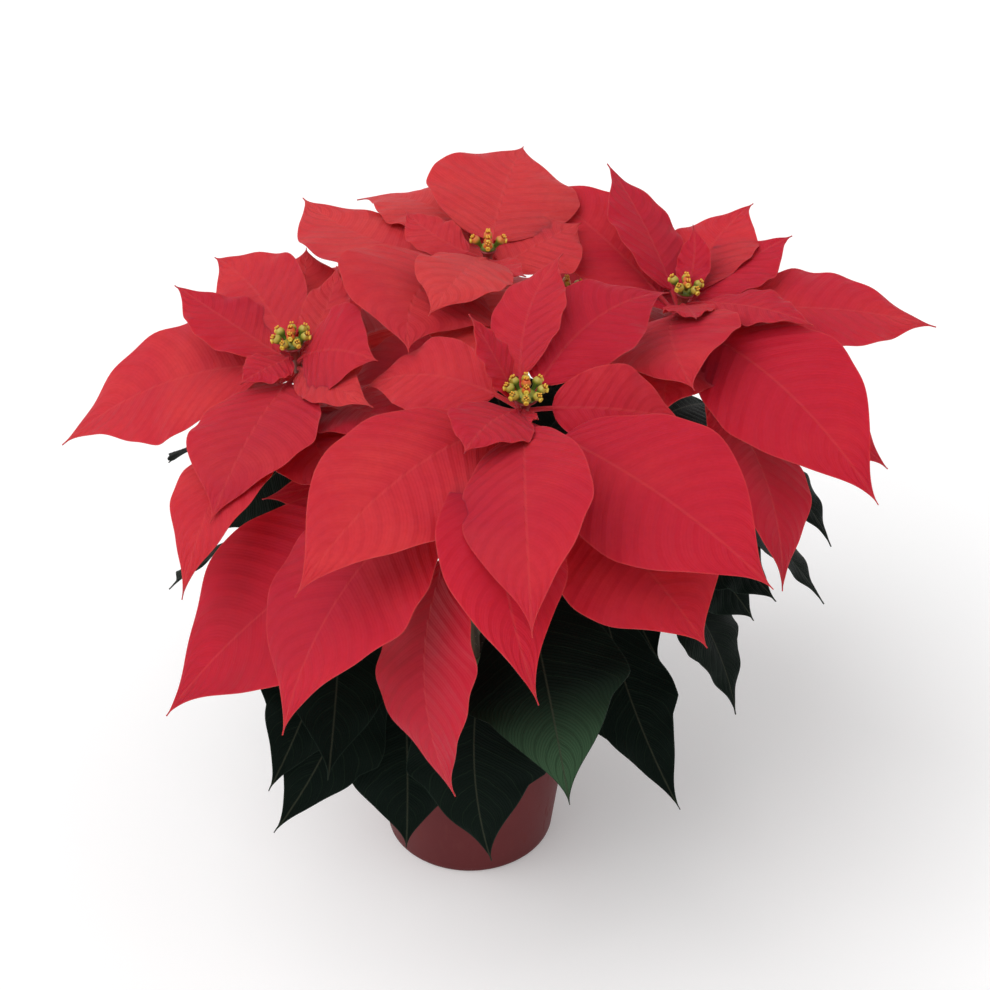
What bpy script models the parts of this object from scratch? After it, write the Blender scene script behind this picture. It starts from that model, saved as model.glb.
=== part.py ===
"""A potted poinsettia: a plastic pot of soil, one woody stem with six leafy shoots, and on
each shoot a head of red bracts round a cluster of small yellow-green flower cups.

Metres, +Z up. The origin is the centre of the pot's underside, and the front is -Y.
"""
import math
from typing import NamedTuple

import bmesh
import bpy
from mathutils import Vector

MM = 0.001
GAP = 0.0003

# Driving sizes of the pot and the soil
POT_HEIGHT = 0.115
POT_BASE_RADIUS = 0.0485
POT_TAPER = 0.125
POT_WALL = 0.0022
POT_FLOOR = 0.003
RIM_BAND_HEIGHT = 0.020
RIM_BAND_STEP = 0.0022
POT_SIDES = 36
DRAIN_HOLES = 5
DRAIN_START = 94
DRAIN_RADIUS = 0.004
DRAIN_CIRCLE = 0.031
SOIL_TOP = 0.100

# Driving sizes of the stems
STEM_FACETS = 12
STEM_RADIUS = 0.0062
STEM_FOOT = 0.062
STEM_TOP = 0.160
SHOOT_RADIUS = 0.0032
SHOOT_TOP_RADIUS = 0.0024
SHOOT_START_RADIUS = 0.012
SHOOT_START_RISE = 0.003
SHOOT_BEND_SHARE = 0.8
SHOOT_BEND_HEIGHT = 0.19
HEAD_STEM_LENGTH = 0.055
NECK = 0.003
NECK_RADIUS = 0.0032
NECK_FOOT = 0.004
CUP_BED_RADIUS = 0.0065
CUP_BED_THICKNESS = 0.0015
TUBE_SIDES = 8

# Driving sizes of the flower cups: an outer ring that leans out, and some in the middle
CUSHION_HEIGHTS = (0, 0.0015, 0.003)
CUSHION_WIDTHS = (0.9, 0.85, 0.4)
FULL_RING = 8
OUTER_CUP_FOOT = 0.0046
OUTER_CUP_LEAN = 38
MIDDLE_CUPS = 2
MIDDLE_CUP_FOOT = 0.0016
MIDDLE_CUP_LEAN = 10
CUP_ROOT_HEIGHT = 0.0008
CUP_HEIGHTS = (0, 0.0030, 0.0052, 0.0074)
CUP_RADII = (0.0010, 0.0012, 0.0024, 0.0016)
CUP_SIDES = 5

# Driving sizes of the blades, which are the red bracts and the green leaves
BLADE_THICKNESS = 0.0008
STALK_THICKNESS = 0.0022
STALK_HALF_WIDTH = 0.0012
FOLD_DEGREES = 8
CAMBER = 0.12
WAVE_HEIGHT = 0.0012
WAVES = 14
WAVE_SHIFT = 1.5
FOOT_ROUNDNESS = 0.6
TIP_SLIMNESS = 1.1
WIDEST_EASE = 0.85
TOOTH_AT = 0.52
TOOTH_LENGTH = 0.22
TOOTH_BACK = 0.24
TOOTH_FRONT = 0.07
BRACT_STATIONS = (0, 0.06, 0.22, 0.46, 0.69, 0.87)
LEAF_STATIONS = (0, 0.08, 0.28, TOOTH_AT, TOOTH_AT + TOOTH_FRONT, 0.80)
SMALL_WIDTH = 32
SMALL_STATIONS = (0, 0.12, 0.46, 0.80)
LEAF_BODY = 0.92

# How the blades of a layer differ: the drop between neighbours in mm, their roll in degrees,
# and shares of the layer's own reach, fall and width
LAYER_STEP = 3
LAYER_ROLL = 12
ROLL_VARIES = 3
REACH_VARIES = 0.08
FALL_VARIES = 0.12
WIDTH_VARIES = 0.06

RED = (0.58, 0.03, 0.05)
GREEN = (0.03, 0.09, 0.04)
STEM_GREEN = (0.10, 0.22, 0.06)
BARK = (0.20, 0.14, 0.08)
CUP_YELLOW = (0.62, 0.60, 0.10)
POT_BROWN = (0.20, 0.08, 0.06)
SOIL_BROWN = (0.03, 0.02, 0.015)


class Shoot(NamedTuple):
    """A side shoot: where its head stands in mm, the height and heading at which it leaves the
    woody stem, and how many flower cups stand in the outer ring of its cluster."""
    head: tuple
    leaves_stem_at: float
    heading: float
    outer_cups: int = FULL_RING


class Blade(NamedTuple):
    """A bract or leaf. Tip, drop below the shoot's top and width in mm, arch and roll in
    degrees; sweep and stalk are shares of the length."""
    tip: tuple
    drop: float
    width: float
    arch: float = 35
    roll: float = 0
    sweep: float = 0
    stalk: float = 0.14


class Layer(NamedTuple):
    """Blades of one kind round a shoot, at these headings in degrees: drop, level reach,
    fall of the tip from the foot and width in mm, arch in degrees, stalk as a share."""
    headings: tuple
    drop: float
    reach: float
    fall: float
    width: float
    arch: float
    stalk: float = 0.14


SHOOTS = {
    "front": Shoot((30, -77, 361), 124, -60),
    "left": Shoot((-91, 1, 339), 140, 180, 7),
    "top": Shoot((11, 58, 362), 150, 90, 4),
    "right": Shoot((117, 52, 338), 122, 0, 5),
    "back_left": Shoot((-70, 95, 305), 126, 150, 5),
    "back_right": Shoot((55, 125, 290), 138, 60, 5),
}

BRACTS = {
    "front": [
        Blade((32, -227, 332), 8, 66, 50, 20, 0.03),
        Blade((35, -240, 302), 26, 64, 50, -15, -0.12, 0.2),
        Blade((-80, -186, 322), 13, 76, 50, -15, -0.05),
        Blade((148, -174, 317), 14, 86, 35, 20, 0.02, 0.16),
        Blade((110, -63, 335), 6, 46, 50, 45, 0.03, 0.16),
        Blade((50, 16, 386), 5, 42, 35, -20, 0.07, 0.18),
        Blade((106, 20, 359), 8, 52, 45, 15, 0.08),
        Blade((-52, -30, 333), 7, 46, 60, -25, -0.06, 0.17),
        Blade((2, -63, 401), 11, 25, 10, 0, 0, 0.2),
        Blade((0, -132, 367), 6, 44, 30, -5, -0.04),
        Blade((27, -102, 359), 5, 16, 5, 10),
        Blade((-152, -151, 215), 50, 112, 45, -5, -0.02, 0.28),
        Blade((-89, -196, 243), 36, 96, 60, 10, -0.05, 0.26),
        Blade((-5, -192, 198), 42, 90, 90, 45, 0, 0.35),
        Blade((-107, -50, 276), 46, 60, 20, -15, 0, 0.25),
        Blade((118, -175, 281), 38, 98, 35, 0, 0, 0.32),
    ],
    "left": [
        Blade((-220, 10, 267), 12, 90, 25, -10, -0.09, 0.12),
        Blade((-127, -112, 309), 16, 70, 45, 10, 0.02),
        Blade((-140, -143, 285), 36, 52, 65, 15, 0, 0.2),
        Blade((-158, 56, 340), 12, 44, 15, 0, 0.03),
        Blade((-140, 95, 333), 9, 55, 20, -30, -0.06),
        Blade((-70, 52, 355), 5, 26, 10, 0, -0.08),
        Blade((-45, -37, 355), 9, 52, 50, 42, 0.06, 0.16),
        Blade((-47, -58, 341), 12, 30, 40, 20, -0.04, 0.12),
        Blade((-60, -89, 309), 22, 50, 10, 15, -0.05, 0.23),
        Blade((-28, -58, 326), 34, 60, 25, 0, 0, 0.12),
        Blade((-90, 106, 332), 12, 68, 10, 0, 0, 0.12),
        Blade((-117, -28, 334), 5, 28, 20, 0, 0, 0.12),
    ],
    "top": [
        Blade((-94, 148, 339), 10, 70, 5, 5, 0.12),
        Blade((-29, -38, 361), 13, 90, 30, -15, -0.17, 0.18),
        Blade((-19, -24, 374), 4, 52, 50, -5, 0.02),
        Blade((31, 20, 369), 4, 20, 20, 5, -0.06),
        Blade((31, 176, 356), 10, 86, 25, 10, 0.03, 0.18),
        Blade((-64, 159, 331), 18, 60, 50, 5, -0.1, 0.23),
        Blade((-34, 97, 362), 5, 28, 35, -10, 0.12, 0.17),
        Blade((13, -44, 348), 18, 64, 30, 5, 0, 0.12),
        Blade((62, 100, 352), 14, 60, 20, 5, 0, 0.16),
    ],
    "right": [
        Blade((256, 59, 311), 12, 76, 35, 0, -0.02, 0.18),
        Blade((179, 103, 342), 10, 46, 20, -5),
        Blade((160, 137, 342), 8, 54, 15, -10, 0.05),
        Blade((77, 130, 372), 10, 50, 20, 25),
        Blade((31, 150, 350), 13, 68, 30, -5, 0, 0.13),
        Blade((116, -50, 346), 10, 74, 40, 15, -0.06, 0.08),
        Blade((211, -77, 293), 17, 80, 60, 15, 0.02, 0.15),
        Blade((228, 3, 256), 28, 74, 40, 10, 0, 0.22),
        Blade((182, 10, 345), 5, 34, 25, 0, 0.03, 0.18),
        Blade((164, -88, 245), 42, 66, 70, -30, 0, 0.27),
        Blade((101, -38, 322), 24, 64, 30, 0, 0, 0.18),
        Blade((123, 92, 356), 6, 20, 10, -15, -0.08),
        Blade((120, 6, 352), 5, 28, 15, 0, 0, 0.12),
    ],
}

LEAVES = {
    "front": [
        Blade((52, -198, 198), 100, 78, 55, 20, 0.03, 0.25),
        Blade((13, -145, 106), 150, 74, 60, 20, -0.04, 0.3),
        Blade((50, 90, 262), 80, 64, 10, 0, 0, 0.25),
    ],
    "left": [
        Blade((-34, -108, 79), 170, 76, 70, -10, -0.01, 0.35),
        Blade((-104, -128, 110), 150, 58, 60, -40, 0.03, 0.3),
        Blade((-106, -122, 135), 124, 54, 50, -40, 0, 0.35),
        Blade((-73, -135, 155), 104, 60, 40, -15, 0, 0.35),
        Blade((-173, 77, 205), 80, 60, 55, 10, 0, 0.35),
        Blade((-172, 28, 151), 110, 62, 35, 25, 0, 0.35),
        Blade((-134, -30, 238), 60, 62, 20, 0, 0, 0.2),
    ],
    "top": [Blade((24, -34, 282), 60, 70, 25, 0, 0, 0.2)],
    "right": [
        Blade((116, -102, 102), 150, 50, 60, 40, 0, 0.3),
        Blade((149, -48, 123), 140, 62, 55, -25, 0, 0.35),
        Blade((161, 0, 151), 120, 58, 50, 10, -0.03, 0.35),
        Blade((172, -6, 170), 110, 54, 40, 0, -0.05, 0.35),
        Blade((196, -25, 184), 90, 64, 30, -30, 0, 0.35),
        Blade((199, -12, 214), 80, 56, 60, -20, 0.06, 0.35),
        Blade((106, -41, 156), 116, 50, 40, 10, -0.1, 0.35),
    ],
}

# Layers of blades on the sides that turn away from the front
BRACT_LAYERS = {
    "back_left": [
        Layer((62, 102, 142, 182), 26, 112, -50, 60, 45),
        Layer((92, 164, 236, 308), 9, 66, -5, 42, 30),
    ],
    "back_right": [
        Layer((22, 62, 102, 142), 26, 112, -50, 60, 45),
        Layer((60, 135, 210, 285), 9, 66, -5, 42, 30),
    ],
    "right": [
        Layer((25,), 44, 120, -65, 60, 50, 0.25),
        Layer((60, 95), 30, 92, -30, 54, 35, 0.2),
        Layer((120,), 12, 60, -8, 44, 30, 0.08),
    ],
    "left": [Layer((150,), 30, 90, -28, 52, 35, 0.2)],
    "top": [
        Layer((5, 82, 202), 36, 96, -44, 60, 40, 0.18),
        Layer((105,), 12, 64, -8, 44, 30, 0.08),
    ],
}
LEAF_LAYERS = {
    "front": [Layer((190, -5), 62, 75, -30, 46, 30, 0.3)],
    "left": [Layer((-50, 60), 62, 72, -30, 46, 30, 0.3)],
    "top": [
        Layer((225,), 72, 72, -30, 46, 30, 0.3),
        Layer((84,), 110, 115, -85, 56, 50, 0.35),
    ],
    "right": [Layer((56,), 84, 72, -36, 78, 30, 0.2)],
    "back_left": [
        Layer((85, 130), 95, 110, -80, 58, 50, 0.3),
        Layer((108, 152), 150, 115, -70, 60, 60, 0.35),
    ],
    "back_right": [
        Layer((0, 45, 90), 95, 110, -80, 58, 50, 0.3),
        Layer((25, 72), 150, 115, -70, 60, 60, 0.35),
    ],
}


def new_object(name, bm, colour, roughness, smooth=True):
    """Make a mesh object from a bmesh, with a material of its own."""
    bmesh.ops.recalc_face_normals(bm, faces=bm.faces)
    mesh = bpy.data.meshes.new(name)
    bm.to_mesh(mesh)
    bm.free()
    if smooth:
        mesh.shade_smooth()
        mesh.set_sharp_from_angle(angle=math.radians(40))
    material = bpy.data.materials.new(name)
    material.use_nodes = True
    shader = material.node_tree.nodes["Principled BSDF"]
    shader.inputs["Base Color"].default_value = (*colour, 1)
    shader.inputs["Roughness"].default_value = roughness
    mesh.materials.append(material)
    obj = bpy.data.objects.new(name, mesh)
    bpy.context.scene.collection.objects.link(obj)
    return obj


def skin_rings(bm, rings):
    """Join rings of equal length with triangles, and cap both ends."""
    loops = [[bm.verts.new(p) for p in ring] for ring in rings]
    for ring, following in zip(loops, loops[1:]):
        for i, corner in enumerate(ring):
            j = (i + 1) % len(ring)
            bm.faces.new((corner, ring[j], following[j], following[i]))
    bm.faces.new(list(reversed(loops[0])))
    bm.faces.new(loops[-1])


def tube(points, radii, sides=TUBE_SIDES, first_heading=None):
    """A round closed tube along the points, with a radius at each."""
    bm = bmesh.new()
    rings = []
    for i, (point, radius) in enumerate(zip(points, radii)):
        before = points[max(i - 1, 0)]
        after = points[min(i + 1, len(points) - 1)]
        along = (after - before).normalized()
        if i == 0 and first_heading is not None:
            along = first_heading
        side = along.cross(Vector((0, 0, 1)))
        if side.length < 0.1:
            side = Vector((1, 0, 0))
        side.normalize()
        other = along.cross(side)
        turns = [2 * math.pi * k / sides for k in range(sides)]
        rings.append([point + radius * (math.cos(a) * side + math.sin(a) * other) for a in turns])
    skin_rings(bm, rings)
    return bm


def turned(profile, sides):
    """Turn a closed profile of (radius, height) points about the Z axis."""
    bm = bmesh.new()
    columns = []
    for k in range(sides):
        a = 2 * math.pi * k / sides
        columns.append([
            bm.verts.new((r * math.cos(a), r * math.sin(a), z)) if r > 0 else None
            for r, z in profile
        ])
    poles = {i: bm.verts.new((0, 0, z)) for i, (r, z) in enumerate(profile) if r == 0}
    for k in range(sides):
        here, there = columns[k], columns[(k + 1) % sides]
        for i in range(len(profile)):
            j = (i + 1) % len(profile)
            if i in poles and j in poles:
                continue
            if i in poles:
                bm.faces.new((poles[i], there[j], here[j]))
            elif j in poles:
                bm.faces.new((here[i], there[i], poles[j]))
            else:
                bm.faces.new((here[i], there[i], there[j], here[j]))
    return bm


def heading(degrees):
    """The level unit vector at this angle from +X."""
    a = math.radians(degrees)
    return Vector((math.cos(a), math.sin(a), 0))


def shoot_point(shoot, t):
    """A point on a shoot's centre line, from the woody stem (0) to the head (1)."""
    start = heading(shoot.heading) * SHOOT_START_RADIUS
    start.z = shoot.leaves_stem_at * MM + SHOOT_START_RISE
    top = Vector(shoot.head) * MM
    bend = Vector((top.x * SHOOT_BEND_SHARE, top.y * SHOOT_BEND_SHARE, SHOOT_BEND_HEIGHT))
    return start * (1 - t) ** 2 + bend * 2 * t * (1 - t) + top * t * t


def cluster_size(shoot):
    """A cluster with fewer cups is smaller; this is its width as a share of a full one."""
    return math.sqrt(shoot.outer_cups / FULL_RING)


def shoot_length(shoot):
    """The length of a shoot's centre line, summed over short steps."""
    steps = [shoot_point(shoot, i / 40) for i in range(41)]
    return sum((b - a).length for a, b in zip(steps, steps[1:]))


def point_below_head(shoot, drop):
    """The point this many metres down a shoot from its head."""
    here = shoot_point(shoot, 1)
    left = drop
    for i in range(1, 200):
        below = shoot_point(shoot, 1 - i / 200)
        step = (below - here).length
        if step >= left:
            return here.lerp(below, left / step)
        left -= step
        here = below
    return here


def tooth(u):
    """How much the tooth on each edge of a leaf adds to its width at this share of its length."""
    back, front = 1 + (u - TOOTH_AT) / TOOTH_BACK, 1 - (u - TOOTH_AT) / TOOTH_FRONT
    return max(0, min(back, front)) * TOOTH_LENGTH


def outline(u, toothed):
    """Half width at a share of the blade's length, as a share of its greatest half width."""
    if not 0 < u < 1:
        return 0
    plain = math.sin(math.pi * u ** WIDEST_EASE) ** (FOOT_ROUNDNESS + TIP_SLIMNESS * u)
    return plain * (LEAF_BODY + tooth(u)) if toothed else plain


class BladeShape:
    """The surface of one blade: midrib on a circular arc, with fold, camber and waved edges."""

    def __init__(self, shoot, blade, toothed):
        self.blade = blade
        self.toothed = toothed
        self.base = point_below_head(shoot, blade.drop * MM + NECK)
        reach = Vector(blade.tip) * MM - self.base
        self.reach = reach.length
        self.chord = reach.normalized()
        level = Vector((-self.chord.y, self.chord.x, 0)).normalized()
        upright = self.chord.cross(level)
        roll = math.radians(blade.roll)
        self.left = level * math.cos(roll) + upright * math.sin(roll)
        self.normal = upright * math.cos(roll) - level * math.sin(roll)
        self.turn = math.radians(max(blade.arch, 1))
        self.phase = 0.7 * blade.tip[0] + 1.3 * blade.tip[1]

    def midrib(self, s):
        """Point, left and normal vectors at a share of the way from the shoot to the tip."""
        radius = self.reach / (2 * math.sin(self.turn / 2))
        angle = (s - 0.5) * self.turn
        along = radius * (math.sin(angle) + math.sin(self.turn / 2))
        rise = radius * (math.cos(angle) - math.cos(self.turn / 2))
        aside = self.blade.sweep * self.reach * 4 * s * (1 - s)
        point = self.base + self.chord * along + self.normal * rise + self.left * aside
        forward = self.chord * math.cos(angle) - self.normal * math.sin(angle)
        forward += self.left * self.blade.sweep * 4 * (1 - 2 * s)
        normal = forward.normalized().cross(self.left).normalized()
        return point, normal.cross(forward.normalized()), normal

    def point(self, u, v):
        """Mid surface point: u along the blade (below 0 is its stalk), v from -1 to 1 across."""
        stalk = self.blade.stalk
        s = stalk + (1 - stalk) * u if u >= 0 else stalk * (1 + u)
        point, left, normal = self.midrib(s)
        half = STALK_HALF_WIDTH
        lift = 0
        if u > 0:
            half = max(self.blade.width * MM / 2 * outline(u, self.toothed), STALK_HALF_WIDTH * (1 - u))
            fold = math.radians(FOLD_DEGREES)
            wave = math.sin(WAVES * u + self.phase + (WAVE_SHIFT if v < 0 else 0))
            lift = half * (abs(v) * math.sin(fold) - CAMBER * v * v)
            lift += WAVE_HEIGHT * wave * abs(v) ** 2 * 4 * u * (1 - u)
        return point + left * v * half + normal * lift, normal


def blade_bmesh(shape):
    """A closed blade: six-point rings with the same diagonals on the upper and lower faces."""
    stations = LEAF_STATIONS if shape.toothed else BRACT_STATIONS
    if shape.blade.width < SMALL_WIDTH:
        stations = SMALL_STATIONS
    rings = []
    for u in (-1,) + stations:
        thickness = BLADE_THICKNESS if u > 0 else STALK_THICKNESS
        points = [shape.point(u, v) for v in (1, 0, -1)]
        upper = [p + n * thickness / 2 for p, n in points]
        lower = [p - n * thickness / 2 for p, n in reversed(points)]
        rings.append(upper + lower)
    tip, normal = shape.point(1, 0)
    bm = bmesh.new()
    loops = [[bm.verts.new(p) for p in ring] for ring in rings]
    for ring, following in zip(loops, loops[1:]):
        for i in range(6):
            j = (i + 1) % 6
            corners = (ring[i], ring[j], following[j], following[i])
            if i in (0, 4):
                split = (corners[:3], (corners[0], corners[2], corners[3]))
            else:
                split = ((corners[0], corners[1], corners[3]), corners[1:])
            for triangle in split:
                bm.faces.new(triangle)
    root = loops[0]
    for triangle in ((0, 5, 4), (0, 4, 1), (1, 4, 3), (1, 3, 2)):
        bm.faces.new([root[k] for k in triangle])
    end = loops[-1]
    above = bm.verts.new(tip + normal * BLADE_THICKNESS / 2)
    below = bm.verts.new(tip - normal * BLADE_THICKNESS / 2)
    for first, second in ((0, 1), (1, 2)):
        bm.faces.new((end[first], end[second], above))
    for first, second in ((3, 4), (4, 5)):
        bm.faces.new((end[first], end[second], below))
    bm.faces.new((end[2], end[3], below))
    bm.faces.new((end[2], below, above))
    bm.faces.new((end[5], end[0], above))
    bm.faces.new((end[5], above, below))
    return bm


def fuse(base, extras, solver):
    """Join the extra objects to the base with one union, then remove them. The exact solver
    leaves thin blades open where they meet, so they are joined by the manifold one."""
    repeats = bpy.data.collections.new(base.name + "_repeats")
    bpy.context.scene.collection.children.link(repeats)
    for extra in extras:
        bpy.context.scene.collection.objects.unlink(extra)
        repeats.objects.link(extra)
    union = base.modifiers.new("union", "BOOLEAN")
    union.operation = "UNION"
    union.operand_type = "COLLECTION"
    union.collection = repeats
    union.solver = solver
    bpy.context.view_layer.objects.active = base
    bpy.ops.object.modifier_apply(modifier=union.name)
    for extra in extras:
        bpy.data.objects.remove(extra)
    bpy.data.collections.remove(repeats)


def make_pot():
    """The turned pot with its rim band and drain holes."""
    top = POT_HEIGHT
    band = top - RIM_BAND_HEIGHT
    inner = [POT_BASE_RADIUS + POT_TAPER * z - POT_WALL for z in (POT_FLOOR, top)]
    profile = [
        (0, 0),
        (POT_BASE_RADIUS - 0.0012, 0),
        (POT_BASE_RADIUS, 0.0012),
        (POT_BASE_RADIUS + POT_TAPER * band, band),
        (POT_BASE_RADIUS + POT_TAPER * band + RIM_BAND_STEP, band + 0.0015),
        (POT_BASE_RADIUS + POT_TAPER * top + RIM_BAND_STEP, top - 0.001),
        (POT_BASE_RADIUS + POT_TAPER * top + RIM_BAND_STEP - 0.001, top),
        (inner[1] + 0.001, top),
        (inner[1], top - 0.001),
        (inner[0], POT_FLOOR),
        (0, POT_FLOOR),
    ]
    pot = new_object("pot", turned(profile, POT_SIDES), POT_BROWN, 0.5)
    for k in range(DRAIN_HOLES):
        place = heading(DRAIN_START + 360 * k / DRAIN_HOLES) * DRAIN_CIRCLE
        bpy.ops.mesh.primitive_cylinder_add(
            vertices=8, radius=DRAIN_RADIUS, depth=4 * POT_FLOOR, location=place)
        cutter = bpy.context.object
        cut = pot.modifiers.new("drain", "BOOLEAN")
        cut.operation = "DIFFERENCE"
        cut.object = cutter
        bpy.context.view_layer.objects.active = pot
        bpy.ops.object.modifier_apply(modifier=cut.name)
        bpy.data.objects.remove(cutter)
    return pot


def make_soil():
    """The plug of soil, a little mounded, with a plain hole for the woody stem."""
    bottom = POT_FLOOR + GAP
    wall = [POT_BASE_RADIUS + POT_TAPER * z - POT_WALL - 1.5 * GAP for z in (bottom, SOIL_TOP)]
    hole = STEM_RADIUS + GAP
    hole_floor = STEM_FOOT - GAP
    profile = [
        (0, bottom),
        (wall[0], bottom),
        (wall[1], SOIL_TOP - 0.002),
        (0.6 * wall[1], SOIL_TOP + 0.001),
        (2.2 * hole, SOIL_TOP + 0.003),
        (hole, SOIL_TOP + 0.003),
        (hole, hole_floor),
        (0, hole_floor),
    ]
    return new_object("soil", turned(profile, POT_SIDES), SOIL_BROWN, 0.95)


def make_woody_stem():
    """A faceted woody stem with its foot in the soil, each shoot against a flat facet."""
    profile = [
        (0, STEM_FOOT),
        (STEM_RADIUS, STEM_FOOT),
        (STEM_RADIUS, STEM_TOP - 0.004),
        (STEM_RADIUS * 0.6, STEM_TOP),
        (0, STEM_TOP),
    ]
    bm = turned(profile, STEM_FACETS)
    half_facet = math.pi / STEM_FACETS
    for vert in bm.verts:
        x, y = vert.co.x, vert.co.y
        vert.co.x = x * math.cos(half_facet) - y * math.sin(half_facet)
        vert.co.y = x * math.sin(half_facet) + y * math.cos(half_facet)
    return new_object("woody_stem", bm, BARK, 0.85, smooth=False)


def blade_objects(name, shoot, blades, toothed, colour):
    """One closed object for each blade of a shoot, ready to be fused."""
    made = []
    for k, blade in enumerate(blades):
        shape = BladeShape(shoot, blade, toothed)
        made.append(new_object(f"{name}_{k}", blade_bmesh(shape), colour, 0.6))
    return made


def layer_blades(shoot, layers):
    """The blades of some layers, each a little different in reach and fall."""
    blades = []
    for layer in layers:
        for k, direction in enumerate(layer.headings):
            drop = layer.drop + LAYER_STEP * k
            vary = math.sin(2.3 * k + direction)
            base = point_below_head(shoot, drop * MM) / MM
            level = heading(direction) * layer.reach * (1 + REACH_VARIES * vary)
            tip = base + level + Vector((0, 0, layer.fall * (1 - FALL_VARIES * vary)))
            width = layer.width * (1 + WIDTH_VARIES * vary)
            roll = LAYER_ROLL + ROLL_VARIES * vary
            blades.append(Blade(tuple(tip), drop, width, layer.arch, roll, 0, layer.stalk))
    return blades


def make_leafy_shoot(name, shoot):
    """The green part of a shoot with its leaves fused on."""
    flat = heading(shoot.heading)
    facet = STEM_RADIUS * math.cos(math.pi / STEM_FACETS) + GAP
    start = flat * facet + Vector((0, 0, shoot.leaves_stem_at * MM))
    last = 1 - (HEAD_STEM_LENGTH + GAP) / shoot_length(shoot)
    end = point_below_head(shoot, HEAD_STEM_LENGTH + GAP)
    steps = 9
    points = [start] + [shoot_point(shoot, last * k / steps) for k in range(steps)] + [end]
    radii = [SHOOT_RADIUS + (SHOOT_TOP_RADIUS - SHOOT_RADIUS) * k / steps for k in range(steps + 2)]
    stem = new_object("leafy_shoot_" + name, tube(points, radii, TUBE_SIDES, flat), STEM_GREEN, 0.6)
    leaves = LEAVES.get(name, []) + layer_blades(shoot, LEAF_LAYERS.get(name, []))
    fuse(stem, blade_objects(name + "_leaf", shoot, leaves, True, GREEN), "MANIFOLD")
    return stem


def make_head(name, shoot):
    """The top of a shoot, its cup bed and its bracts in one body."""
    steps = 5
    drops = [HEAD_STEM_LENGTH * (1 - k / steps) for k in range(steps + 1)]
    points = [point_below_head(shoot, drop) for drop in drops[:-1]]
    top = shoot_point(shoot, 1)
    lean = (top - points[-1]).normalized()
    points += [top - lean * NECK_FOOT, top - lean * CUP_BED_THICKNESS, top]
    bed = CUP_BED_RADIUS * cluster_size(shoot)
    radii = [SHOOT_TOP_RADIUS] * steps + [NECK_RADIUS, bed * CUSHION_WIDTHS[1], bed]
    stem = new_object("head_" + name, tube(points, radii), RED, 0.55)
    bracts = BRACTS.get(name, []) + layer_blades(shoot, BRACT_LAYERS.get(name, []))
    fuse(stem, blade_objects(name + "_bract", shoot, bracts, False, RED), "MANIFOLD")
    return stem


def make_cups(name, shoot):
    """The cluster of small flower cups on a low cushion in the middle of a head."""
    top = shoot_point(shoot, 1)
    lean = (top - point_below_head(shoot, 0.01)).normalized()
    foot = top + lean * GAP
    bed = CUP_BED_RADIUS * cluster_size(shoot)
    cushion = tube([foot + lean * h for h in CUSHION_HEIGHTS], [bed * w for w in CUSHION_WIDTHS])
    base = new_object("cups_" + name, cushion, CUP_YELLOW, 0.5)
    side = lean.cross(Vector((1, 0, 0))).normalized()
    other = lean.cross(side)
    cups = []
    for count, foot_radius, lean_out in (
            (shoot.outer_cups, OUTER_CUP_FOOT * cluster_size(shoot), OUTER_CUP_LEAN),
            (MIDDLE_CUPS, MIDDLE_CUP_FOOT, MIDDLE_CUP_LEAN)):
        for k in range(count):
            a = 2 * math.pi * k / count
            out = side * math.cos(a) + other * math.sin(a)
            lean_angle = math.radians(lean_out)
            axis = lean * math.cos(lean_angle) + out * math.sin(lean_angle)
            root = foot + out * foot_radius + lean * CUP_ROOT_HEIGHT
            cup = tube([root + axis * h for h in CUP_HEIGHTS], CUP_RADII, CUP_SIDES)
            cups.append(new_object(f"{name}_cup_{len(cups)}", cup, CUP_YELLOW, 0.5))
    fuse(base, cups, "EXACT")
    return base


def main():
    for obj in list(bpy.data.objects):
        bpy.data.objects.remove(obj)
    make_pot()
    make_soil()
    make_woody_stem()
    for name, shoot in SHOOTS.items():
        make_leafy_shoot(name, shoot)
        make_head(name, shoot)
        make_cups(name, shoot)


if __name__ == "__main__":
    main()
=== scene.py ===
"""Looks of the potted poinsettia: velvety red bracts, dark toothed leaves, flower cups, soil
and a brown plastic pot.

Metres, +Z up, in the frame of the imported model. The origin is the centre of the pot's
underside and the front is -Y. Each piece is a finer form of the solid that it replaces, and
it is worked out from the same tables of shoots and blades.
"""
import math
from typing import NamedTuple

import bpy
import numpy as np
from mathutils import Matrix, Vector, noise


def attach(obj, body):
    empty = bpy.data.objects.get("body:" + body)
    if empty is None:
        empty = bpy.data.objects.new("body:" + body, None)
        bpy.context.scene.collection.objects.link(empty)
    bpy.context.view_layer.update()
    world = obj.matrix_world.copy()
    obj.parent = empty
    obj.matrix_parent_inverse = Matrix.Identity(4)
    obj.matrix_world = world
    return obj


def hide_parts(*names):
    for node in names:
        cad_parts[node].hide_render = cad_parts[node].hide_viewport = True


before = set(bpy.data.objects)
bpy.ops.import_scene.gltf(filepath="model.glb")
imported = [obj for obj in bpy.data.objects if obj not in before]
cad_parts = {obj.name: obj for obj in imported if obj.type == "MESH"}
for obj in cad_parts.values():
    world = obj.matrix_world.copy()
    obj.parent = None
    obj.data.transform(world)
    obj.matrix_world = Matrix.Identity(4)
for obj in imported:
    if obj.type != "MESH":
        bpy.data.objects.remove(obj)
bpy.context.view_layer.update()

MM = 0.001
GAP = 0.0003
BODY = "root"

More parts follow.
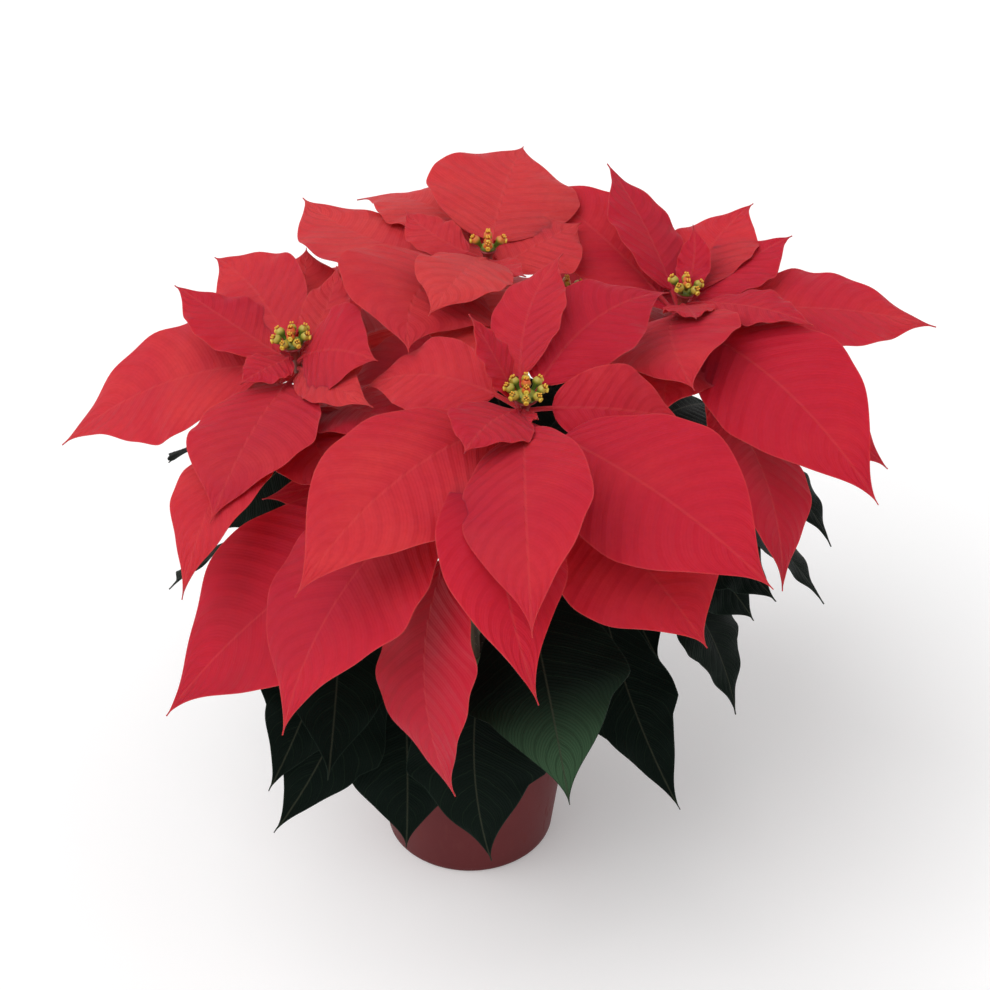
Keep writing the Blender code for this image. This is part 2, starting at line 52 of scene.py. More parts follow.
# Driving sizes of the pot, soil and woody stem, as in the solids
POT_HEIGHT = 0.115
POT_BASE_RADIUS = 0.0485
POT_TAPER = 0.125
POT_WALL = 0.0022
POT_FLOOR = 0.003
RIM_BAND_HEIGHT = 0.020
RIM_BAND_STEP = 0.0022
DRAIN_HOLES = 5
DRAIN_START = 94
DRAIN_RADIUS = 0.004
DRAIN_CIRCLE = 0.031
SOIL_TOP = 0.100
STEM_RADIUS = 0.0062
STEM_FOOT = 0.062
STEM_TOP = 0.160
STEM_FACETS = 12

# The finer pot, with each edge as (outward, upward) steps from its corner
POT_SIDES = 144
DRAIN_SIDES = 32
FOOT_EDGE = ((-0.0016, 0), (-0.0006, 0.0003))
WALL_HEIGHTS = (0.0012, 0.004, 0.030, 0.060, 0.090)
BAND_EDGE = ((-0.0001, -0.0006), (0.0006, 0), (RIM_BAND_STEP - 0.0004, 0.0004), (RIM_BAND_STEP, 0.0014))
BAND_MIDDLE = 0.010
LIP_OUTSIDE = ((0, -0.0012), (-0.0004, -0.0003), (-0.0012, 0))
LIP_INSIDE = ((0.0010, 0), (0.0003, -0.0003), (0, -0.0010))
BELOW_LIP = 0.02
FLOOR_FILLET = 0.0006

# The finer soil: a low edge, a heap round the stem, and lumps
SOIL_SIDES = 120
SOIL_STEPS = 42
SOIL_BOTTOM_RINGS = (0.02, 0.5, 1)
SOIL_SIDE_GAP = 1.5 * GAP
SOIL_EDGE_DROP = 0.002
SOIL_HEAP = 0.005
SOIL_LUMP = 0.0011
SOIL_LUMP_SCALE = 180

# The finer woody stem, with a worn top edge and softer facets
BARK_SIDES = 48
BARK_STEPS = 60
BARK_EDGE = 0.004
BARK_EDGE_TAPER = 0.4
BARK_FLATNESS = 0.6
BARK_ROUGHNESS = 0.00022
BARK_GRAIN = 120
BARK_MARGIN = 0.0001

# Driving sizes of the shoots and their heads, as in the solids
SHOOT_RADIUS = 0.0032
SHOOT_TOP_RADIUS = 0.0024
SHOOT_START_RADIUS = 0.012
SHOOT_START_RISE = 0.003
SHOOT_BEND_SHARE = 0.8
SHOOT_BEND_HEIGHT = 0.19
HEAD_STEM_LENGTH = 0.055
CUP_BED_RADIUS = 0.0065
NECK = 0.003

# The finer shoots, and the cup bed as (depth below the top, radius) pairs
SHOOT_STEPS = 40
DROP_STEPS = 200
SHOOT_SIDES = 16
KNUCKLE = 0.00035
KNUCKLE_SPACING = 0.9
HEAD_STEM_STEPS = 16
HEAD_STEM_SIDES = 20
BED_NECK = (0.0042, 0.0026)
BED_PROFILE = ((0.0026, 0.0042), (0.0014, 0.0056), (0.0005, 0.0064), (0, 0.0058))
BED_DEPTH = 0.0055

# Driving sizes of the flower cups, in an outer ring that leans out and in the middle
FULL_RING = 8
OUTER_CUP_FOOT = 0.0046
OUTER_CUP_LEAN = 38
MIDDLE_CUPS = 2
MIDDLE_CUP_FOOT = 0.0016
MIDDLE_CUP_LEAN = 10
CUP_ROOT_HEIGHT = 0.0008

# The finer cups, as (height, radius) pairs. The cushion's radii are shares of the bed's.
CUSHION_PROFILE = ((0, 0.88), (0.0008, 0.90), (0.0016, 0.80), (0.0024, 0.60), (0.003, 0.3))
CUSHION_SIDES = 24
CUP_PROFILE = (
    (0, 0.0010), (0.0016, 0.0011), (0.0030, 0.0013), (0.0037, 0.0018), (0.0044, 0.0022),
    (0.0052, 0.0024), (0.0060, 0.0023), (0.0067, 0.0019), (0.0072, 0.0017),
    (0.0074, 0.0014), (0.0070, 0.0011), (0.0062, 0.0009),
)
CUP_MOUTH = 0.0074
CUP_SIDES = 20
CUP_LOBES = 5
CUP_LOBE_DEPTH = 0.10
CUP_SIZE_VARIES = 0.06
CUP_SIZE_PACE = 5
CUP_TURN = 1.3
CUP_LEAN_DROP = 0.01
LIP_PROFILE = (
    (0, 0.0006), (0.0003, 0.0011), (0.0009, 0.0014), (0.0014, 0.0013), (0.0016, 0.0008),
    (0.0013, 0.0004),
)
LIP_SIDES = 14
LIP_BELOW_MOUTH = 0.0012
LIP_OUTWARD = 0.0016
LIP_RISE = 0.5
STAMEN_PROFILE = (
    (0, 0.00018), (0.0016, 0.00016), (0.0021, 0.00042), (0.0026, 0.00050), (0.0030, 0.0003),
)
STAMENS = 4
STAMEN_SIDES = 8
STAMEN_SPREAD = 0.0005
STAMEN_LEAN = 0.15
STAMEN_BELOW_MOUTH = 0.0014

# Driving sizes of the blades, which are bracts and leaves
BLADE_THICKNESS = 0.0006
RIM_THICKNESS = 0.00035
STALK_RADIUS = 0.0012
FOLD_DEGREES = 8
CAMBER = 0.12
WAVE_HEIGHT = 0.0012
WAVES = 14
WAVE_SHIFT = 1.5
FOOT_ROUNDNESS = 0.6
TIP_SLIMNESS = 1.1
WIDEST_EASE = 0.85
LEAF_BODY = 0.92
TOOTH_AT = 0.52
TOOTH_LENGTH = 0.22
TOOTH_BACK = 0.24
TOOTH_FRONT = 0.07

# How the blades of a layer differ: a step down in mm, roll in degrees, and the rest in shares
LAYER_STEP = 3
LAYER_ROLL = 12
ROLL_VARIES = 3
REACH_VARIES = 0.08
FALL_VARIES = 0.12
WIDTH_VARIES = 0.06
LAYER_PACE = 2.3

# The finer blades: the grid of each, a fold that is soft at the midrib, edges that are ragged
# by (share of the width, turns along the blade, pace of the phase), ripples and raised veins
BLADE_COLUMNS = 21
COLUMN_EASE = 1.45
LEAST_ROWS = 22
ROWS_FOR_A_MM = 0.27
ROW_EASE = 0.25
STALK_ROWS = 6
FOLD_SOFTNESS = 0.04
RAGGED_EDGES = ((0.016, 11, 1), (0.012, 27, 2.3))
RAGGED_SHIFT = 1.9
RIPPLE_HEIGHT = 0.0009
RIPPLES = 33
RIPPLE_SHIFT = 2.1
VEIN_RELIEF = 0.0006
VEIN_LEVEL = 0.64
LEAST_VEINS = 6
MM_FOR_A_VEIN = 20
VEIN_SWEEP = 0.13
VEIN_CURVE = 0.07
VEIN_OFFSET = 0.35
STALK_SLIMS = 0.8
MIDRIB_SLIMS = 0.75
MIDRIB_ABOVE_ENDS = 8
MIDRIB_BELOW = 0.9
MIDRIB_BELOW_SINKS = 0.4

# The red of each head, from crimson (0) to scarlet (1), with painted light: the heads on the left and
# top, towards the sun, are warmer and lighter. It varies, and is deeper lower down.
BRACT_DEEP = (0.32, 0.011, 0.025)
BRACT_CRIMSON = (0.45, 0.013, 0.033)
BRACT_SCARLET = (0.61, 0.050, 0.052)
WARMTH_WITH_PAINTED_LIGHT = {"front": 0.22, "left": 0.44, "top": 0.66, "right": 0.22, "back_left": 0.5, "back_right": 0.3}
WARMTH_VARIES = 0.2
WARMTH_PACE = 2.4
UPPER_BRACTS = 20
DEEPENS = 0.012

# How red the tips of the cups are, and the tint that marks the front leaf, whose tip gets painted light
MIDDLE_RED = 1
OUTER_RED = 0.15
OUTER_RED_OF = {"top": 0.9}
PAINTED_LIGHT_LEAF_TINT = 2

# The camera, worked out from the pot in the photograph
CAMERA_LENS = 100
CAMERA_SENSOR = 36
CAMERA_TARGET = Vector((0.0148, 0, 0.2405))
CAMERA_DISTANCE = 1.5
CAMERA_ELEVATION = 37.5

# The lights and the floor
SKY_STRENGTH = 0.65
SUN_STRENGTH = 1.6
SUN_WIDTH = 55
SUN_TOWARDS = (0.5, 0.35, -1.0)
FLOOR_HALF = 6
FLOOR_LEVEL = -0.0002
FLOOR_WHITE = (0.88, 0.88, 0.88)
FLOOR_GLOW = 0.16


class Shoot(NamedTuple):
    """A side shoot: where its head stands in mm, the height and heading at which it leaves the
    woody stem, and how many flower cups stand in the outer ring of its cluster."""
    head: tuple
    leaves_stem_at: float
    heading: float
    outer_cups: int = FULL_RING


class Blade(NamedTuple):
    """A bract or leaf. Tip, drop below the shoot's top and width in mm, arch and roll in
    degrees; sweep and stalk are shares of the length."""
    tip: tuple
    drop: float
    width: float
    arch: float = 35
    roll: float = 0
    sweep: float = 0
    stalk: float = 0.14


class Layer(NamedTuple):
    """Blades of one kind round a shoot, at these headings in degrees: drop, level reach,
    fall of the tip from the foot and width in mm, arch in degrees, stalk as a share."""
    headings: tuple
    drop: float
    reach: float
    fall: float
    width: float
    arch: float
    stalk: float = 0.14


SHOOTS = {
    "front": Shoot((30, -77, 361), 124, -60),
    "left": Shoot((-91, 1, 339), 140, 180, 7),
    "top": Shoot((11, 58, 362), 150, 90, 4),
    "right": Shoot((117, 52, 338), 122, 0, 5),
    "back_left": Shoot((-70, 95, 305), 126, 150, 5),
    "back_right": Shoot((55, 125, 290), 138, 60, 5),
}

BRACTS = {
    "front": [
        Blade((32, -227, 332), 8, 66, 50, 20, 0.03),
        Blade((35, -240, 302), 26, 64, 50, -15, -0.12, 0.2),
        Blade((-80, -186, 322), 13, 76, 50, -15, -0.05),
        Blade((148, -174, 317), 14, 86, 35, 20, 0.02, 0.16),
        Blade((110, -63, 335), 6, 46, 50, 45, 0.03, 0.16),
        Blade((50, 16, 386), 5, 42, 35, -20, 0.07, 0.18),
        Blade((106, 20, 359), 8, 52, 45, 15, 0.08),
        Blade((-52, -30, 333), 7, 46, 60, -25, -0.06, 0.17),
        Blade((2, -63, 401), 11, 25, 10, 0, 0, 0.2),
        Blade((0, -132, 367), 6, 44, 30, -5, -0.04),
        Blade((27, -102, 359), 5, 16, 5, 10),
        Blade((-152, -151, 215), 50, 112, 45, -5, -0.02, 0.28),
        Blade((-89, -196, 243), 36, 96, 60, 10, -0.05, 0.26),
        Blade((-5, -192, 198), 42, 90, 90, 45, 0, 0.35),
        Blade((-107, -50, 276), 46, 60, 20, -15, 0, 0.25),
        Blade((118, -175, 281), 38, 98, 35, 0, 0, 0.32),
    ],
    "left": [
        Blade((-220, 10, 267), 12, 90, 25, -10, -0.09, 0.12),
        Blade((-127, -112, 309), 16, 70, 45, 10, 0.02),
        Blade((-140, -143, 285), 36, 52, 65, 15, 0, 0.2),
        Blade((-158, 56, 340), 12, 44, 15, 0, 0.03),
        Blade((-140, 95, 333), 9, 55, 20, -30, -0.06),
        Blade((-70, 52, 355), 5, 26, 10, 0, -0.08),
        Blade((-45, -37, 355), 9, 52, 50, 42, 0.06, 0.16),
        Blade((-47, -58, 341), 12, 30, 40, 20, -0.04, 0.12),
        Blade((-60, -89, 309), 22, 50, 10, 15, -0.05, 0.23),
        Blade((-28, -58, 326), 34, 60, 25, 0, 0, 0.12),
        Blade((-90, 106, 332), 12, 68, 10, 0, 0, 0.12),
        Blade((-117, -28, 334), 5, 28, 20, 0, 0, 0.12),
    ],
    "top": [
        Blade((-94, 148, 339), 10, 70, 5, 5, 0.12),
        Blade((-29, -38, 361), 13, 90, 30, -15, -0.17, 0.18),
        Blade((-19, -24, 374), 4, 52, 50, -5, 0.02),
        Blade((31, 20, 369), 4, 20, 20, 5, -0.06),
        Blade((31, 176, 356), 10, 86, 25, 10, 0.03, 0.18),
        Blade((-64, 159, 331), 18, 60, 50, 5, -0.1, 0.23),
        Blade((-34, 97, 362), 5, 28, 35, -10, 0.12, 0.17),
        Blade((13, -44, 348), 18, 64, 30, 5, 0, 0.12),
        Blade((62, 100, 352), 14, 60, 20, 5, 0, 0.16),
    ],
    "right": [
        Blade((256, 59, 311), 12, 76, 35, 0, -0.02, 0.18),
        Blade((179, 103, 342), 10, 46, 20, -5),
        Blade((160, 137, 342), 8, 54, 15, -10, 0.05),
        Blade((77, 130, 372), 10, 50, 20, 25),
        Blade((31, 150, 350), 13, 68, 30, -5, 0, 0.13),
        Blade((116, -50, 346), 10, 74, 40, 15, -0.06, 0.08),
        Blade((211, -77, 293), 17, 80, 60, 15, 0.02, 0.15),
        Blade((228, 3, 256), 28, 74, 40, 10, 0, 0.22),
        Blade((182, 10, 345), 5, 34, 25, 0, 0.03, 0.18),
        Blade((164, -88, 245), 42, 66, 70, -30, 0, 0.27),
        Blade((101, -38, 322), 24, 64, 30, 0, 0, 0.18),
        Blade((123, 92, 356), 6, 20, 10, -15, -0.08),
        Blade((120, 6, 352), 5, 28, 15, 0, 0, 0.12),
    ],
}

LEAVES = {
    "front": [
        Blade((52, -198, 198), 100, 78, 55, 20, 0.03, 0.25),
        Blade((13, -145, 106), 150, 74, 60, 20, -0.04, 0.3),
        Blade((50, 90, 262), 80, 64, 10, 0, 0, 0.25),
    ],
    "left": [
        Blade((-34, -108, 79), 170, 76, 70, -10, -0.01, 0.35),
        Blade((-104, -128, 110), 150, 58, 60, -40, 0.03, 0.3),
        Blade((-106, -122, 135), 124, 54, 50, -40, 0, 0.35),
        Blade((-73, -135, 155), 104, 60, 40, -15, 0, 0.35),
        Blade((-173, 77, 205), 80, 60, 55, 10, 0, 0.35),
        Blade((-172, 28, 151), 110, 62, 35, 25, 0, 0.35),
        Blade((-134, -30, 238), 60, 62, 20, 0, 0, 0.2),
    ],
    "top": [Blade((24, -34, 282), 60, 70, 25, 0, 0, 0.2)],
    "right": [
        Blade((116, -102, 102), 150, 50, 60, 40, 0, 0.3),
        Blade((149, -48, 123), 140, 62, 55, -25, 0, 0.35),
        Blade((161, 0, 151), 120, 58, 50, 10, -0.03, 0.35),
        Blade((172, -6, 170), 110, 54, 40, 0, -0.05, 0.35),
        Blade((196, -25, 184), 90, 64, 30, -30, 0, 0.35),
        Blade((199, -12, 214), 80, 56, 60, -20, 0.06, 0.35),
        Blade((106, -41, 156), 116, 50, 40, 10, -0.1, 0.35),
    ],
}

# Layers of blades on the far sides, as in the solids, except that the leaf of the right shoot
# reaches 9 mm further, which closes a gap in the picture
BRACT_LAYERS = {
    "back_left": [
        Layer((62, 102, 142, 182), 26, 112, -50, 60, 45),
        Layer((92, 164, 236, 308), 9, 66, -5, 42, 30),
    ],
    "back_right": [
        Layer((22, 62, 102, 142), 26, 112, -50, 60, 45),
        Layer((60, 135, 210, 285), 9, 66, -5, 42, 30),
    ],
    "right": [
        Layer((25,), 44, 120, -65, 60, 50, 0.25),
        Layer((60, 95), 30, 92, -30, 54, 35, 0.2),
        Layer((120,), 12, 60, -8, 44, 30, 0.08),
    ],
    "left": [Layer((150,), 30, 90, -28, 52, 35, 0.2)],
    "top": [
        Layer((5, 82, 202), 36, 96, -44, 60, 40, 0.18),
        Layer((105,), 12, 64, -8, 44, 30, 0.08),
    ],
}
LEAF_LAYERS = {
    "front": [Layer((190, -5), 62, 75, -30, 46, 30, 0.3)],
    "left": [Layer((-50, 60), 62, 72, -30, 46, 30, 0.3)],
    "top": [
        Layer((225,), 72, 72, -30, 46, 30, 0.3),
        Layer((84,), 110, 115, -85, 56, 50, 0.35),
    ],
    "right": [Layer((57,), 84, 72, -33, 78, 30, 0.2)],
    "back_left": [
        Layer((85, 130), 95, 110, -80, 58, 50, 0.3),
        Layer((108, 152), 150, 115, -70, 60, 60, 0.35),
    ],
    "back_right": [
        Layer((0, 45, 90), 95, 110, -80, 58, 50, 0.3),
        Layer((25, 72), 150, 115, -70, 60, 60, 0.35),
    ],
}


# The shapes of shoots and blades, as in the solids
def heading(degrees):
    """The level unit vector at this angle from +X."""
    a = math.radians(degrees)
    return Vector((math.cos(a), math.sin(a), 0))


def shoot_point(shoot, t):
    """A point on a shoot's centre line, from the woody stem (0) to the head (1)."""
    start = heading(shoot.heading) * SHOOT_START_RADIUS
    start.z = shoot.leaves_stem_at * MM + SHOOT_START_RISE
    top = Vector(shoot.head) * MM
    bend = Vector((top.x * SHOOT_BEND_SHARE, top.y * SHOOT_BEND_SHARE, SHOOT_BEND_HEIGHT))
    return start * (1 - t) ** 2 + bend * 2 * t * (1 - t) + top * t * t


def cluster_size(shoot):
    """The width of the cluster of cups as a share of a full one."""
    return math.sqrt(shoot.outer_cups / FULL_RING)


def shoot_length(shoot):
    """The length of a shoot's centre line, summed over short steps."""
    steps = [shoot_point(shoot, i / SHOOT_STEPS) for i in range(SHOOT_STEPS + 1)]
    return sum((b - a).length for a, b in zip(steps, steps[1:]))


def point_below_head(shoot, drop):
    """The point this many metres down a shoot from its head."""
    here = shoot_point(shoot, 1)
    left = drop
    for i in range(1, DROP_STEPS):
        below = shoot_point(shoot, 1 - i / DROP_STEPS)
        step = (below - here).length
        if step >= left:
            return here.lerp(below, left / step)
        left -= step
        here = below
    return here


def layer_blades(shoot, layers):
    """The blades of some layers, each a little different in reach and fall."""
    blades = []
    for layer in layers:
        for k, direction in enumerate(layer.headings):
            drop = layer.drop + LAYER_STEP * k
            vary = math.sin(LAYER_PACE * k + direction)
            base = point_below_head(shoot, drop * MM) / MM
            level = heading(direction) * layer.reach * (1 + REACH_VARIES * vary)
            tip = base + level + Vector((0, 0, layer.fall * (1 - FALL_VARIES * vary)))
            width = layer.width * (1 + WIDTH_VARIES * vary)
            roll = LAYER_ROLL + ROLL_VARIES * vary
            blades.append(Blade(tuple(tip), drop, width, layer.arch, roll, 0, layer.stalk))
    return blades


def smooth(x):
    """A smooth step from 0 to 1 as x goes from 0 to 1."""
    x = np.clip(x, 0, 1)
    return x * x * (3 - 2 * x)


def tooth(u):
    """How much the teeth of a leaf add to its width at this share of its length."""
    back = 1 + (u - TOOTH_AT) / TOOTH_BACK
    front = 1 - (u - TOOTH_AT) / TOOTH_FRONT
    return np.minimum(back, front).clip(0, None) * TOOTH_LENGTH


def outline(u, toothed):
    """Half width at a share of the blade's length, as a share of its greatest half width."""
    u = np.clip(u, 0, 1)
    plain = np.sin(np.pi * u ** WIDEST_EASE).clip(0, None) ** (FOOT_ROUNDNESS + TIP_SLIMNESS * u)
    if toothed:
        plain = plain * (LEAF_BODY + tooth(u))
    return plain


class FineBlade:
    """One blade as a closed grid of rings, on the same arc as the solid that it stands for."""

    def __init__(self, shoot, blade, toothed):
        self.blade = blade
        self.toothed = toothed
        self.base = point_below_head(shoot, blade.drop * MM + NECK)
        reach = Vector(blade.tip) * MM - self.base
        self.reach = reach.length
        self.chord = reach.normalized()
        level = Vector((-self.chord.y, self.chord.x, 0)).normalized()
        upright = self.chord.cross(level)
        roll = math.radians(blade.roll)
        self.left = level * math.cos(roll) + upright * math.sin(roll)
        self.normal = upright * math.cos(roll) - level * math.sin(roll)
        self.turn = math.radians(max(blade.arch, 1))
        self.phase = 0.7 * blade.tip[0] + 1.3 * blade.tip[1]
        self.veins = LEAST_VEINS + self.reach / MM / MM_FOR_A_VEIN

    def midrib(self, s):
        """Points, left and normal vectors at shares of the way from the shoot to the tip."""
        s = s[:, None]
        base, chord, left, normal = map(np.array, (self.base, self.chord, self.left, self.normal))
        half_turn = math.sin(self.turn / 2)
        radius = self.reach / (2 * half_turn)
        angle = (s - 0.5) * self.turn
        along = radius * (np.sin(angle) + half_turn)
        rise = radius * (np.cos(angle) - math.cos(self.turn / 2))
        aside = self.blade.sweep * self.reach * 4 * s * (1 - s)
        points = base + chord * along + normal * rise + left * aside
        forward = chord * np.cos(angle) - normal * np.sin(angle)
        forward = forward + left * self.blade.sweep * 4 * (1 - 2 * s)
        forward /= np.linalg.norm(forward, axis=1, keepdims=True)
        upward = np.cross(forward, left)
        upward /= np.linalg.norm(upward, axis=1, keepdims=True)
        return points, np.cross(upward, forward), upward

    def grid(self):
        """Shares along the blade, below 0 on its stalk, and across it, from 1 to -1."""
        ease = np.linspace(0, 1, int(LEAST_ROWS + self.reach / MM * ROWS_FOR_A_MM))
        u = (1 - ROW_EASE) * ease + ROW_EASE * (1 - np.cos(math.pi * ease)) / 2
        u = np.concatenate((np.linspace(-1, 0, STALK_ROWS)[:-1], u))[:, None]
        t = np.linspace(-1, 1, BLADE_COLUMNS)[None, :]
        return u, -np.sign(t) * np.abs(t) ** COLUMN_EASE

    def half_width(self, u, v):
        """Half the width, with edges a little ragged, and at least the stalk's."""
        pace = self.phase + np.where(v < 0, RAGGED_SHIFT, 0)
        ragged = sum(share * np.sin(turns * u + rate * pace) for share, turns, rate in RAGGED_EDGES)
        half = self.blade.width * MM / 2 * outline(u, self.toothed)
        half = half * (1 + ragged * 4 * u * (1 - u))
        return np.maximum(half, STALK_RADIUS * (1 - STALK_SLIMS * u))

    def vein_phase(self, u, v):
        """Rises by one from each side vein to the next. The veins sweep towards the tip."""
        offset = np.where(v < 0, VEIN_OFFSET, 0)
        return self.veins * (u - VEIN_SWEEP * np.abs(v) - VEIN_CURVE * v * v) + offset

    def lift(self, u, v, half):
        """How far the surface stands out: fold and camber, waves and ripples towards the edges,
        and swellings between the side veins."""
        fold = np.sqrt(v * v + FOLD_SOFTNESS ** 2) - FOLD_SOFTNESS
        lift = half * (fold * math.sin(math.radians(FOLD_DEGREES)) - CAMBER * v * v)
        wave = np.sin(WAVES * u + self.phase + np.where(v < 0, WAVE_SHIFT, 0))
        ripple = np.sin(RIPPLES * u + 2 * self.phase + np.where(v < 0, RIPPLE_SHIFT, 0))
        lift = lift + (WAVE_HEIGHT * wave + RIPPLE_HEIGHT * ripple) * v * v * 4 * u * (1 - u)
        inside = smooth(u * 6) * smooth((1 - u) * 5) * (1 - np.abs(v) ** 3) * smooth(np.abs(v) * 6)
        swelling = np.abs(np.sin(math.pi * self.vein_phase(u, v))) - VEIN_LEVEL
        return lift + VEIN_RELIEF * swelling * inside

    def sheet(self, u, v, half):
        """Points in the middle of the blade's thickness, and normals on its upper side."""
        stalk = self.blade.stalk
        s = np.where(u >= 0, stalk + (1 - stalk) * u, stalk * (1 + u))[:, 0]
        points, left, upward = (values[:, None] for values in self.midrib(s))
        lift = np.where(u > 0, self.lift(u.clip(0, 1), v, half), 0)
        middle = points + left * (v * half)[..., None] + upward * lift[..., None]
        normal = np.cross(np.gradient(middle, axis=0), np.gradient(middle, axis=1))
        normal /= np.linalg.norm(normal, axis=2, keepdims=True)
        return middle, normal * np.sign((normal * upward).sum(axis=2, keepdims=True))

    def rings(self, tint):
        """Ring points, and for each point its place and its habit, which the materials read."""
        u, v = self.grid()
        on_blade = u.clip(0, 1)
        half = self.half_width(on_blade, v)
        middle, normal = self.sheet(u, v, half)
        midrib_radius = STALK_RADIUS * (1 - MIDRIB_SLIMS * on_blade)
        ridge = np.sqrt((midrib_radius ** 2 - (v * half) ** 2).clip(0, None))
        thick = (RIM_THICKNESS + (BLADE_THICKNESS - RIM_THICKNESS) * (1 - v ** 4)) / 2
        above = thick + ridge * (1 - smooth(on_blade * MIDRIB_ABOVE_ENDS))
        below = thick + ridge * (MIDRIB_BELOW - MIDRIB_BELOW_SINKS * on_blade)
        upper = middle + normal * above[..., None]
        lower = middle - normal * below[..., None]

        def both(values):
            values = np.broadcast_to(values, half.shape)
            return np.concatenate((values, values[:, ::-1]), axis=1)

        from_midrib = np.abs(v) * half
        from_edge = (1 - np.abs(v)) * half
        place = np.stack((both(u), both(from_midrib) / MM, both(from_edge) / MM), axis=2)
        phase = both(self.vein_phase(on_blade, v))
        side = np.concatenate((np.ones_like(half), -np.ones_like(half)), axis=1)
        habit = np.stack((phase, side, np.full_like(side, tint)), axis=2)
        return np.concatenate((upper, lower[:, ::-1]), axis=1), place, habit


def add_object(name, data):
    thing = bpy.data.objects.new(name, data)
    bpy.context.scene.collection.objects.link(thing)
    return thing


class PieceMesh:
    """Collects the closed parts of one piece, each with its material, and makes its mesh."""

    def __init__(self):
        self.points, self.faces, self.slots = [], [], []
        self.place, self.habit = [], []
        self.count = 0

    def add(self, points, faces, slot, place=None, habit=None):
        points = np.asarray(points, float).reshape(-1, 3)
        blank = np.zeros_like(points)
        self.points.append(points)
        self.faces += [[i + self.count for i in face] for face in faces]
        self.slots += [slot] * len(faces)
        self.place.append(blank if place is None else place.reshape(-1, 3))
        self.habit.append(blank if habit is None else habit.reshape(-1, 3))
        self.count += len(points)

    def add_rings(self, rings, slot, place=None, habit=None, flat_ends=False):
        """A closed tube of rings. Flat ends pair the ring's halves, as on a blade."""
        count, size = rings.shape[:2]
        faces = []
        for i in range(count - 1):
            for j in range(size):
                k = (j + 1) % size
                faces.append((i * size + j, (i + 1) * size + j, (i + 1) * size + k, i * size + k))
        last = (count - 1) * size
        if flat_ends:
            for j in range(size // 2 - 1):
                opposite = size - 1 - j
                faces.append((j, j + 1, opposite - 1, opposite))
                faces.append((last + opposite, last + opposite - 1, last + j + 1, last + j))
        else:
            faces.append(tuple(range(size)))
            faces.append(tuple(last + j for j in reversed(range(size))))
        self.add(rings, faces, slot, place, habit)

    def make(self, name, materials, sharp=50):
        """The piece as an object, smooth but for edges sharper than this many degrees."""
        mesh = bpy.data.meshes.new(name)
        mesh.from_pydata(np.concatenate(self.points), [], self.faces)
        for material in materials:
            mesh.materials.append(material)
        mesh.polygons.foreach_set("material_index", self.slots)
        for attribute, values in (("place", self.place), ("habit", self.habit)):
            layer = mesh.attributes.new(attribute, "FLOAT_VECTOR", "POINT")
            layer.data.foreach_set("vector", np.concatenate(values).astype(np.float32).ravel())
        mesh.shade_smooth()
        mesh.set_sharp_from_angle(angle=math.radians(sharp))
        mesh.update()
        return add_object(name, mesh)


def ways_round(side, other, count, start=0.0):
    """Unit vectors evenly round an axis, from one side towards the other."""
    turns = [start + 2 * math.pi * k / count for k in range(count)]
    return [side * math.cos(a) + other * math.sin(a) for a in turns]


def tube_rings(points, radii, sides):
    """Round rings along a path, each turned from the one before without a twist."""
    rings = []
    side = None
    for i, (point, radius) in enumerate(zip(points, radii)):
        along = (points[min(i + 1, len(points) - 1)] - points[max(i - 1, 0)]).normalized()
        if side is None:
            side = along.orthogonal()
        side = (side - along * side.dot(along)).normalized()
        other = along.cross(side)
        rings.append([point + radius * way for way in ways_round(side, other, sides)])
    return np.array(rings)


def level_ring(radius, height, sides):
    """A level circle of points round the pot's axis."""
    turns = np.arange(sides) * 2 * math.pi / sides
    return [(radius * math.cos(a), radius * math.sin(a), height) for a in turns]


# Materials: linear colours, and patterns by their scale, in waves to the metre, and detail
FINE_VEINS = 5


